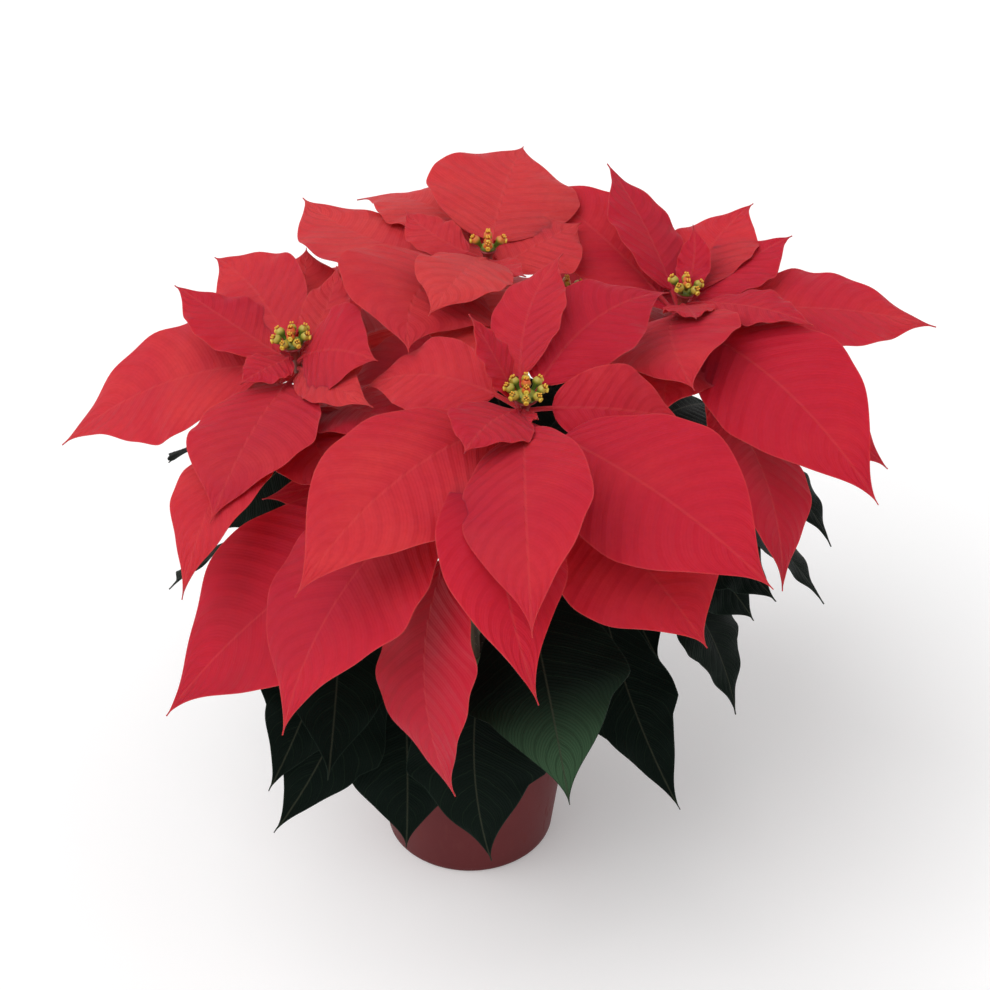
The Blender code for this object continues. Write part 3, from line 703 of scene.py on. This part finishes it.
class NodeTree:
    """Short calls for the nodes of one material."""

    def __init__(self, name):
        self.material = bpy.data.materials.new(name)
        self.material.use_nodes = True
        self.nodes = self.material.node_tree.nodes
        self.links = self.material.node_tree.links
        self.shader = self.nodes["Principled BSDF"]

    def put(self, socket, value):
        if hasattr(value, "is_linked"):
            self.links.new(value, socket)
        elif isinstance(value, tuple) and len(value) == 3 and len(socket.default_value) == 4:
            socket.default_value = (*value, 1)
        else:
            socket.default_value = value

    def set(self, **values):
        for name, value in values.items():
            self.put(self.shader.inputs[name.replace("_", " ")], value)

    def math(self, operation, a, b=0.0, c=0.0):
        node = self.nodes.new("ShaderNodeMath")
        node.operation = operation
        for socket, value in zip(node.inputs, (a, b, c)):
            self.put(socket, value)
        return node.outputs[0]

    def times(self, a, b):
        return self.math("MULTIPLY", a, b)

    def plus_share(self, rest, share, value):
        """A share of a value, added to the rest."""
        return self.math("MULTIPLY_ADD", value, share, rest)

    def span(self, value, low, high, to_low=0.0, to_high=1.0):
        """A value mapped smoothly from one range to another."""
        node = self.nodes.new("ShaderNodeMapRange")
        node.interpolation_type = "SMOOTHSTEP"
        for socket, number in zip(node.inputs, (value, low, high, to_low, to_high)):
            self.put(socket, number)
        return node.outputs[0]

    def fade(self, value, low, high):
        """1 up to the low value, then smoothly down to 0 at the high one."""
        return self.span(value, low, high, 1.0, 0.0)

    def roughness(self, pattern, low, high):
        """A roughness that follows a noise pattern."""
        return self.span(pattern, 0.3, 0.7, low, high)

    def mix(self, factor, a, b):
        node = self.nodes.new("ShaderNodeMix")
        node.data_type = "RGBA"
        for socket, value in zip((node.inputs[0], node.inputs[6], node.inputs[7]), (factor, a, b)):
            self.put(socket, value)
        return node.outputs[2]

    def layers(self, colour, layers):
        """A colour under some layers, each given as its mask, its share and its colour."""
        for mask, share, upper in layers:
            colour = self.mix(self.times(mask, share), colour, upper)
        return colour

    def noise(self, scale, detail, stretch=None):
        """A noise pattern, drawn out along the axes where the stretch is below 1."""
        node = self.nodes.new("ShaderNodeTexNoise")
        node.inputs["Scale"].default_value = scale
        node.inputs["Detail"].default_value = detail
        where = self.coordinates()
        if stretch:
            mapping = self.nodes.new("ShaderNodeMapping")
            mapping.inputs["Scale"].default_value = stretch
            self.put(mapping.inputs["Vector"], where)
            where = mapping.outputs[0]
        self.put(node.inputs["Vector"], where)
        return node.outputs[0]

    def cells(self, scale):
        node = self.nodes.new("ShaderNodeTexVoronoi")
        node.inputs["Scale"].default_value = scale
        self.put(node.inputs["Vector"], self.coordinates())
        return node.outputs["Distance"]

    def coordinates(self):
        return self.nodes.new("ShaderNodeTexCoord").outputs["Object"]

    def values(self, attribute):
        """The three numbers of an attribute of the mesh."""
        node = self.nodes.new("ShaderNodeAttribute")
        node.attribute_name = attribute
        apart = self.nodes.new("ShaderNodeSeparateXYZ")
        self.put(apart.inputs[0], node.outputs["Vector"])
        return tuple(apart.outputs)

    def line(self, phase, width):
        """1 where the phase is a whole number, fading to 0 at this share of the pitch."""
        return self.fade(self.math("PINGPONG", phase, 0.5), 0.0, width)

    def finish(self, colour, roughness, relief, depth, strength):
        """The material with this skin. Its relief is only in the shading, with its depth in metres."""
        node = self.nodes.new("ShaderNodeBump")
        node.inputs["Strength"].default_value = strength
        node.inputs["Distance"].default_value = depth
        self.put(node.inputs["Height"], relief)
        self.set(Base_Color=colour, Roughness=roughness, Normal=node.outputs[0])
        return self.material


def bract_material():
    """Velvety red, warmer or more crimson by its tint, with soft side veins, a paler midrib and rim,
    and a duller underside. The tint holds painted light: heads towards the sun at the upper left are
    warmer and lighter. The side veins are a touch darker, partly in their own colour and partly as
    painted shade in their grooves."""
    tree = NodeTree("bract_velvet")
    _, from_midrib, from_edge = tree.values("place")
    phase, side, tint = tree.values("habit")
    mottle = tree.noise(28, 4)
    wobble = tree.times(tree.noise(90, 2), 0.35)
    veins = tree.line(tree.math("ADD", phase, tree.times(wobble, 0.3)), width=0.36)
    fine = tree.line(tree.plus_share(wobble, FINE_VEINS, phase), width=0.45)
    # Painted light: the tint makes the heads towards the upper-left sun warmer and lighter
    warmth = tree.plus_share(tint, 0.9, tree.math("SUBTRACT", mottle, 0.5))
    red = tree.mix(tree.span(warmth, 0.0, 1.0), BRACT_CRIMSON, BRACT_SCARLET)
    red = tree.mix(tree.fade(warmth, -0.7, 0.0), red, BRACT_DEEP)
    red = tree.layers(red, (
        (tree.span(tree.noise(320, 5), 0.35, 0.65), 0.12, (0.30, 0.005, 0.016)),
        (fine, 0.04, (0.30, 0.005, 0.016)),
        # Painted shade, with the veins' own colour: the side veins are a touch darker along their
        # grooves
        (veins, 0.09, (0.32, 0.006, 0.018)),
        (tree.fade(from_midrib, 0.3, 1.1), 0.22, (0.62, 0.07, 0.07)),
        (tree.fade(from_edge, 0.0, 1.1), 0.25, (0.66, 0.07, 0.07)),
        (tree.fade(side, -1.0, 1.0), 0.75, (0.34, 0.040, 0.050)),
    ))
    tree.set(Specular_IOR_Level=0.12, Subsurface_Weight=0.5, Subsurface_Scale=0.004)
    tree.set(Sheen_Weight=0.05, Sheen_Roughness=0.35, Sheen_Tint=(1.0, 0.70, 0.66))
    relief = tree.plus_share(tree.times(veins, -1.0), -0.12, fine)
    relief = tree.plus_share(relief, 0.15, tree.noise(900, 2))
    return tree.finish(red, tree.roughness(mottle, 0.55, 0.70), relief, 0.0008, 0.5)


def leaf_material():
    """Dark green, made almost black as painted shade under the bracts, with pale veins and rim, and
    lighter at the tip of the front leaf as painted light where light falls on it.
    """
    tree = NodeTree("leaf_dark_green")
    along, from_midrib, from_edge = tree.values("place")
    phase, side, tint = tree.values("habit")
    mottle = tree.noise(40, 4)
    wobble = tree.times(tree.noise(120, 2), 0.25)
    veins = tree.line(tree.math("ADD", phase, wobble), width=0.07)
    fine = tree.line(tree.plus_share(wobble, FINE_VEINS, phase), width=0.30)
    painted_light_leaf = tree.math("GREATER_THAN", tint, PAINTED_LIGHT_LEAF_TINT - 0.5)
    # The base green is the leaf's own dark green, darkened almost to black as painted shade under the
    # bracts
    green = tree.layers(tree.mix(mottle, (0.003, 0.006, 0.005), (0.006, 0.012, 0.008)), (
        # Painted light: the tip half of the front leaf is a lighter green where light falls on it
        (tree.span(along, 0.45, 0.95), painted_light_leaf, (0.045, 0.095, 0.048)),
        (fine, 0.25, (0.003, 0.006, 0.004)),
        (veins, 0.5, (0.014, 0.026, 0.015)),
        (tree.fade(from_midrib, 0.2, 0.75), 0.6, (0.050, 0.055, 0.036)),
        (tree.fade(from_edge, 0.15, 0.8), 0.5, (0.024, 0.038, 0.028)),
        (tree.fade(side, -1.0, 1.0), 0.6, (0.014, 0.026, 0.016)),
    ))
    tree.set(Specular_IOR_Level=0.10, IOR=1.25)
    relief = tree.plus_share(tree.times(veins, -0.8), -0.35, fine)
    relief = tree.plus_share(relief, 0.2, tree.noise(700, 2))
    return tree.finish(green, tree.roughness(mottle, 0.45, 0.60), relief, 0.0006, 0.7)


def shoot_material():
    """A green young stem with red streaks and a waxy skin, flushed red towards a head."""
    tree = NodeTree("shoot_green")
    flush, _, _ = tree.values("habit")
    streaks = tree.noise(60, 4, stretch=(1, 1, 0.2))
    green = tree.mix(tree.noise(150, 3), (0.035, 0.075, 0.022), (0.075, 0.125, 0.035))
    green = tree.mix(tree.span(streaks, 0.45, 0.75, to_high=0.7), green, (0.16, 0.035, 0.03))
    green = tree.mix(flush, green, (0.30, 0.012, 0.020))
    return tree.finish(green, tree.roughness(streaks, 0.40, 0.55), tree.noise(500, 3), 0.0003, 0.5)


def bark_material():
    """Grey-brown young bark with fine cracks along the stem and pale spots."""
    tree = NodeTree("bark_brown")
    cracks = tree.noise(220, 6, stretch=(1, 1, 0.15))
    spots = tree.fade(tree.cells(420), 0.10, 0.22)
    brown = tree.mix(tree.span(cracks, 0.35, 0.65), (0.055, 0.038, 0.024), (0.19, 0.14, 0.09))
    brown = tree.layers(brown, ((spots, 0.6, (0.33, 0.27, 0.19)),))
    relief = tree.plus_share(cracks, 0.4, spots)
    return tree.finish(brown, tree.roughness(cracks, 0.75, 0.92), relief, 0.0007, 0.8)


def cup_material():
    """Yellow-green cups. The habit holds how far up the cup, and how red its tip is."""
    tree = NodeTree("cup_green_yellow")
    height, _, tip = tree.values("habit")
    mottle = tree.noise(700, 3)
    colour = tree.mix(mottle, (0.05, 0.11, 0.010), (0.14, 0.22, 0.020))
    colour = tree.mix(tree.span(height, 0.45, 0.95), colour, (0.46, 0.44, 0.06))
    colour = tree.layers(colour, ((tree.span(height, 0.5, 0.95), tip, (0.68, 0.13, 0.02)),))
    tree.set(Specular_IOR_Level=0.5, Subsurface_Weight=0.1, Subsurface_Scale=0.002)
    return tree.finish(colour, tree.roughness(mottle, 0.32, 0.48), tree.noise(1400, 2), 0.0002, 0.5)


def gland_material():
    """The fat yellow lip of a cup, glossy with nectar."""
    tree = NodeTree("gland_yellow")
    mottle = tree.noise(900, 2)
    yellow = tree.mix(mottle, (0.66, 0.42, 0.03), (0.78, 0.60, 0.08))
    return tree.finish(yellow, tree.roughness(mottle, 0.18, 0.32), tree.noise(1600, 2), 0.0001, 0.4)


def stamen_material():
    """Red threads that end in yellow pollen."""
    tree = NodeTree("stamen_red")
    height, _, _ = tree.values("habit")
    grain = tree.noise(2600, 2)
    red = tree.mix(grain, (0.42, 0.02, 0.012), (0.62, 0.05, 0.02))
    colour = tree.mix(tree.span(height, 0.55, 0.8), red, (0.85, 0.48, 0.05))
    return tree.finish(colour, tree.roughness(grain, 0.5, 0.8), grain, 0.0002, 0.6)


def soil_material():
    """Damp dark peat with paler fibres and a few white grains."""
    tree = NodeTree("soil_peat")
    lumps = tree.noise(260, 6)
    fibres = tree.span(tree.noise(500, 4, stretch=(1, 0.2, 1)), 0.58, 0.68)
    grains = tree.fade(tree.cells(260), 0.08, 0.14)
    brown = tree.layers(tree.mix(lumps, (0.006, 0.004, 0.003), (0.050, 0.032, 0.020)), (
        (fibres, 0.6, (0.11, 0.065, 0.035)),
        (grains, 0.5, (0.30, 0.28, 0.25)),
    ))
    relief = tree.plus_share(lumps, 0.3, fibres)
    return tree.finish(brown, tree.roughness(lumps, 0.80, 1.0), relief, 0.002, 0.9)


def pot_material():
    """Terracotta-brown moulded plastic with a satin skin, fine scuffs and a little dust."""
    tree = NodeTree("pot_brown_plastic")
    cloud = tree.noise(22, 3)
    scuffs = tree.span(tree.noise(240, 5, stretch=(1, 1, 0.25)), 0.55, 0.72)
    brown = tree.mix(cloud, (0.104, 0.019, 0.021), (0.145, 0.028, 0.029))
    brown = tree.layers(brown, ((scuffs, 0.22, (0.18, 0.055, 0.05)),))
    tree.set(Specular_IOR_Level=0.15, IOR=1.3)
    relief = tree.plus_share(tree.noise(1300, 2), 0.3, scuffs)
    return tree.finish(brown, tree.span(scuffs, 0.0, 1.0, 0.44, 0.62), relief, 0.0002, 0.35)


# Pieces of the plant
def add_blades(mesh, shoot, blades, toothed, tints):
    for blade, tint in zip(blades, tints):
        rings, place, habit = FineBlade(shoot, blade, toothed).rings(tint)
        mesh.add_rings(rings, 0, place, habit, flat_ends=True)


def shoot_rings(shoot):
    """A shoot from the woody stem to just below its head, with knuckles."""
    facet = STEM_RADIUS * math.cos(math.pi / STEM_FACETS) + GAP
    start = heading(shoot.heading) * facet + Vector((0, 0, shoot.leaves_stem_at * MM))
    last = 1 - (HEAD_STEM_LENGTH + GAP) / shoot_length(shoot)
    end = point_below_head(shoot, HEAD_STEM_LENGTH + GAP)
    inner = [shoot_point(shoot, last * k / SHOOT_STEPS) for k in range(SHOOT_STEPS)]
    radii = []
    for k in range(SHOOT_STEPS + 2):
        taper = (SHOOT_TOP_RADIUS - SHOOT_RADIUS) * k / (SHOOT_STEPS + 1)
        knuckle = KNUCKLE * max(0, math.sin(KNUCKLE_SPACING * k)) ** 6
        radii.append(SHOOT_RADIUS + taper + knuckle)
    return tube_rings([start, *inner, end], radii, SHOOT_SIDES)


def make_foliage(name, shoot, materials):
    """The green part of a shoot with its leaves."""
    leaves = LEAVES.get(name, []) + layer_blades(shoot, LEAF_LAYERS.get(name, []))
    tints = [0] * len(leaves)
    # The front leaf's tint gives its tip painted light
    if name == "front":
        tints[0] = PAINTED_LIGHT_LEAF_TINT
    mesh = PieceMesh()
    mesh.add_rings(shoot_rings(shoot), 1)
    add_blades(mesh, shoot, leaves, True, tints)
    piece = mesh.make("foliage_" + name, materials)
    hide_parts("leafy_shoot_" + name)
    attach(piece, BODY)


def head_stem_rings(shoot):
    """The top of a shoot, which widens into the cup bed."""
    top = shoot_point(shoot, 1)
    lean = (top - point_below_head(shoot, HEAD_STEM_LENGTH / 5)).normalized()
    drops = [HEAD_STEM_LENGTH * (1 - k / HEAD_STEM_STEPS) for k in range(HEAD_STEM_STEPS)]
    stem = [point_below_head(shoot, drop) for drop in drops]
    stem = [p for p in stem if (p - top).dot(lean) < -BED_DEPTH]
    bed = (BED_NECK, *((depth, radius * cluster_size(shoot)) for depth, radius in BED_PROFILE))
    points = stem + [top - lean * depth for depth, _ in bed]
    radii = [SHOOT_TOP_RADIUS] * len(stem) + [radius for _, radius in bed]
    return tube_rings(points, radii, HEAD_STEM_SIDES)


def make_bracts(name, shoot, materials):
    """The top of a shoot, its cup bed and its bracts."""
    rings = head_stem_rings(shoot)
    flush = np.zeros_like(rings)
    flush[..., 0] = np.linspace(0, 1, len(rings))[:, None]
    bracts = BRACTS.get(name, []) + layer_blades(shoot, BRACT_LAYERS.get(name, []))
    tints = []
    for k, bract in enumerate(bracts):
        shade = DEEPENS * max(0, bract.drop - UPPER_BRACTS)
        # Painted light: heads towards the upper-left sun get a warmer, lighter red
        tints.append(WARMTH_WITH_PAINTED_LIGHT[name] - WARMTH_VARIES * math.sin(WARMTH_PACE * k) - shade)
    mesh = PieceMesh()
    mesh.add_rings(rings, 1, None, flush)
    add_blades(mesh, shoot, bracts, False, tints)
    piece = mesh.make("bracts_" + name, materials)
    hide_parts("head_" + name)
    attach(piece, BODY)


def add_round(mesh, root, axis, profile, sides, slot, lobes=0, tip=0.0):
    """A turned form along an axis from (height, radius) pairs, with lobes round its upper end."""
    side = axis.orthogonal().normalized()
    other = axis.cross(side)
    top = max(h for h, _ in profile)
    rings, habit = [], []
    for h, r in profile:
        ring = []
        for k in range(sides):
            a = 2 * math.pi * k / sides
            lobe = CUP_LOBE_DEPTH * (h / top) ** 2 * math.cos(lobes * a) if lobes else 0
            way = side * math.cos(a) + other * math.sin(a)
            ring.append(root + axis * h + way * (r * (1 + lobe)))
        rings.append(ring)
        habit.append([(h / top, 1, tip)] * sides)
    mesh.add_rings(np.array(rings), slot, None, np.array(habit, float))


def add_cup(mesh, root, axis, out, size, turn, tip):
    """One cup with low lobes round its mouth, a fat lip on its outer side, and stamens."""
    mouth = CUP_MOUTH * size
    profile = [(h * size, r * size) for h, r in CUP_PROFILE]
    add_round(mesh, root, axis, profile, CUP_SIDES, 0, CUP_LOBES, tip)
    lip_way = (out - axis * out.dot(axis)).normalized()
    lip = root + axis * (mouth - LIP_BELOW_MOUTH) + lip_way * LIP_OUTWARD * size
    add_round(mesh, lip, (axis * LIP_RISE + lip_way).normalized(), LIP_PROFILE, LIP_SIDES, 1)
    side = axis.orthogonal().normalized()
    other = axis.cross(side)
    for way in ways_round(side, other, STAMENS, turn):
        foot = root + axis * (mouth - STAMEN_BELOW_MOUTH) + way * STAMEN_SPREAD
        thread = (axis + way * STAMEN_LEAN).normalized()
        add_round(mesh, foot, thread, STAMEN_PROFILE, STAMEN_SIDES, 2)


def make_cups(name, shoot, materials):
    """A cushion with an outer ring of cups and some in the middle."""
    top = shoot_point(shoot, 1)
    up = (top - point_below_head(shoot, CUP_LEAN_DROP)).normalized()
    foot = top + up * GAP
    wide = cluster_size(shoot)
    mesh = PieceMesh()
    cushion = [(h, share * CUP_BED_RADIUS * wide) for h, share in CUSHION_PROFILE]
    add_round(mesh, foot, up, cushion, CUSHION_SIDES, 0)
    side = up.cross(Vector((1, 0, 0))).normalized()
    other = up.cross(side)
    outer = (shoot.outer_cups, OUTER_CUP_FOOT * wide, OUTER_CUP_LEAN, OUTER_RED_OF.get(name, OUTER_RED))
    middle = (MIDDLE_CUPS, MIDDLE_CUP_FOOT, MIDDLE_CUP_LEAN, MIDDLE_RED)
    made = 0
    for count, foot_radius, lean, tip in (outer, middle):
        lean = math.radians(lean)
        for out in ways_round(side, other, count):
            axis = up * math.cos(lean) + out * math.sin(lean)
            root = foot + out * foot_radius + up * CUP_ROOT_HEIGHT
            size = 1 + CUP_SIZE_VARIES * math.sin(CUP_SIZE_PACE * made + shoot.head[0])
            add_cup(mesh, root, axis, out, size, CUP_TURN * made, tip)
            made += 1
    piece = mesh.make("flower_cups_" + name, materials)
    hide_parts("cups_" + name)
    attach(piece, BODY)


# The pot, the soil and the woody stem
def pot_outside(z):
    """The outer radius of the pot's wall at a height."""
    return POT_BASE_RADIUS + POT_TAPER * z


def pot_profile():
    """The pot's outline as (radius, height) pairs, from its underside to its floor."""
    top = POT_HEIGHT
    band = top - RIM_BAND_HEIGHT
    lip_outside = pot_outside(top) + RIM_BAND_STEP
    lip_inside = pot_outside(top) - POT_WALL
    foot_inside = pot_outside(POT_FLOOR) - POT_WALL
    profile = [(POT_BASE_RADIUS + r, z) for r, z in FOOT_EDGE]
    profile += [(pot_outside(z), z) for z in WALL_HEIGHTS]
    profile += [(pot_outside(band) + r, band + z) for r, z in BAND_EDGE]
    profile += [(pot_outside(band + BAND_MIDDLE) + RIM_BAND_STEP, band + BAND_MIDDLE)]
    profile += [(lip_outside + r, top + z) for r, z in LIP_OUTSIDE]
    profile += [(lip_inside + r, top + z) for r, z in LIP_INSIDE]
    profile += [(lip_inside - POT_TAPER * BELOW_LIP, top - BELOW_LIP)]
    profile += [(foot_inside, POT_FLOOR + FLOOR_FILLET), (foot_inside - FLOOR_FILLET, POT_FLOOR)]
    return profile


def turned_pot(material):
    """The pot turned from its outline, closed below and on its floor."""
    profile = pot_profile()
    size = len(profile)
    points, faces = [], []
    for k in range(POT_SIDES):
        a = 2 * math.pi * k / POT_SIDES
        points += [(r * math.cos(a), r * math.sin(a), z) for r, z in profile]
    columns = [(k * size, (k + 1) % POT_SIDES * size) for k in range(POT_SIDES)]
    for here, there in columns:
        for i in range(size - 1):
            faces.append((here + i, there + i, there + i + 1, here + i + 1))
    below, above = len(points), len(points) + 1
    points += [(0, 0, 0), (0, 0, POT_FLOOR)]
    for here, there in columns:
        faces.append((below, there, here))
        faces.append((above, here + size - 1, there + size - 1))
    mesh = PieceMesh()
    mesh.add(points, faces, 0)
    return mesh.make("plastic_pot", [material], sharp=40)


def make_pot(material):
    """The pot with rounded edges, a rim band and drain holes."""
    pot = turned_pot(material)
    for k in range(DRAIN_HOLES):
        place = heading(DRAIN_START + 360 * k / DRAIN_HOLES) * DRAIN_CIRCLE
        bpy.ops.mesh.primitive_cylinder_add(
            vertices=DRAIN_SIDES, radius=DRAIN_RADIUS, depth=4 * POT_FLOOR, location=place)
        cutter = bpy.context.object
        cut = pot.modifiers.new("drain", "BOOLEAN")
        cut.operation = "DIFFERENCE"
        cut.object = cutter
        bpy.context.view_layer.objects.active = pot
        bpy.ops.object.modifier_apply(modifier=cut.name)
        bpy.data.objects.remove(cutter)
    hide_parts("pot")
    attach(pot, BODY)


def make_soil(material):
    """The soil plug, its top heaped round the stem and rough with small lumps."""
    bottom = POT_FLOOR + GAP
    low_wall, wall = (pot_outside(z) - POT_WALL - SOIL_SIDE_GAP for z in (bottom, SOIL_TOP))
    hole = STEM_RADIUS + GAP
    edge = SOIL_TOP - SOIL_EDGE_DROP
    rings = [level_ring(low_wall * share, bottom, SOIL_SIDES) for share in SOIL_BOTTOM_RINGS]
    rings.append(level_ring(wall, edge, SOIL_SIDES))
    for i in range(1, SOIL_STEPS + 1):
        f = i / SOIL_STEPS
        radius = wall * (1 - f) + hole * f
        ring = []
        for x, y, z in level_ring(radius, edge + SOIL_HEAP * smooth(f), SOIL_SIDES):
            lump = noise.fractal(Vector((x, y, 0)) * SOIL_LUMP_SCALE, 1.0, 2.0, 4)
            ring.append((x, y, z + lump * SOIL_LUMP * min(1, 4 * f)))
        rings.append(ring)
    for radius in (hole, hole / 20):
        rings.append(level_ring(radius, STEM_FOOT - GAP, SOIL_SIDES))
    mesh = PieceMesh()
    mesh.add_rings(np.array(rings), 0)
    soil = mesh.make("potting_soil", [material])
    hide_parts("soil")
    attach(soil, BODY)


def bark_radius(a, z):
    """The stem's radius at an angle and a height, with worn facets and furrows."""
    facet = math.pi / STEM_FACETS
    face = math.cos(facet) / math.cos(a % (2 * facet) - facet)
    worn = BARK_FLATNESS * face + (1 - BARK_FLATNESS) * math.cos(facet)
    from_edge = (z - STEM_TOP + BARK_EDGE) / BARK_EDGE
    taper = 1 - BARK_EDGE_TAPER * max(0, from_edge)
    place = Vector((2 * math.cos(a), 2 * math.sin(a), z * BARK_GRAIN))
    rough = noise.fractal(place, 1.0, 2.0, 3) * BARK_ROUGHNESS
    return STEM_RADIUS * taper * worn - BARK_MARGIN + min(BARK_MARGIN, rough)


def make_bark_stem(material):
    """The woody stem, with swellings and furrows, cut off flat at its foot."""
    rings = []
    for i in range(BARK_STEPS + 1):
        z = STEM_FOOT + (STEM_TOP - STEM_FOOT) * i / BARK_STEPS
        ring = []
        for k in range(BARK_SIDES):
            a = 2 * math.pi * k / BARK_SIDES
            r = bark_radius(a, z)
            ring.append((r * math.cos(a), r * math.sin(a), z))
        rings.append(ring)
    mesh = PieceMesh()
    mesh.add_rings(np.array(rings), 0)
    stem = mesh.make("bark_stem", [material])
    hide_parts("woody_stem")
    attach(stem, BODY)


# Floor, lights and camera
def make_floor():
    mesh = bpy.data.meshes.new("floor")
    signs = ((-1, -1), (1, -1), (1, 1), (-1, 1))
    corners = [(x * FLOOR_HALF, y * FLOOR_HALF, FLOOR_LEVEL) for x, y in signs]
    mesh.from_pydata(corners, [], [(0, 1, 2, 3)])
    tree = NodeTree("floor_white")
    tree.set(Base_Color=FLOOR_WHITE, Roughness=0.9, Specular_IOR_Level=0.1)
    tree.set(Emission_Color=(1, 1, 1), Emission_Strength=FLOOR_GLOW)
    mesh.materials.append(tree.material)
    add_object("floor", mesh)


def make_lights():
    """An even white sky, and a wide soft sun from the upper left."""
    world = bpy.data.worlds.new("studio")
    world.use_nodes = True
    background = world.node_tree.nodes["Background"]
    background.inputs["Color"].default_value = (1, 1, 1, 1)
    background.inputs["Strength"].default_value = SKY_STRENGTH
    bpy.context.scene.world = world
    light = bpy.data.lights.new("key", "SUN")
    light.energy = SUN_STRENGTH
    light.angle = math.radians(SUN_WIDTH)
    lamp = add_object("key", light)
    lamp.rotation_euler = Vector(SUN_TOWARDS).to_track_quat("-Z", "Y").to_euler()


def make_camera():
    camera = bpy.data.cameras.new("camera")
    camera.lens = CAMERA_LENS
    camera.sensor_width = CAMERA_SENSOR
    elevation = math.radians(CAMERA_ELEVATION)
    back = Vector((0, -math.cos(elevation), math.sin(elevation)))
    eye = add_object("camera", camera)
    eye.location = CAMERA_TARGET + back * CAMERA_DISTANCE
    eye.rotation_euler = (-back).to_track_quat("-Z", "Y").to_euler()
    bpy.context.scene.camera = eye


make_camera()
make_lights()
make_floor()
make_pot(pot_material())
make_soil(soil_material())
make_bark_stem(bark_material())
bract_red = bract_material()
leaf_green = leaf_material()
shoot_green = shoot_material()
cup_materials = [cup_material(), gland_material(), stamen_material()]
for shoot_name, each_shoot in SHOOTS.items():
    make_foliage(shoot_name, each_shoot, [leaf_green, shoot_green])
    make_bracts(shoot_name, each_shoot, [bract_red, shoot_green])
    make_cups(shoot_name, each_shoot, cup_materials)
bpy.context.scene.view_settings.view_transform = "Standard"
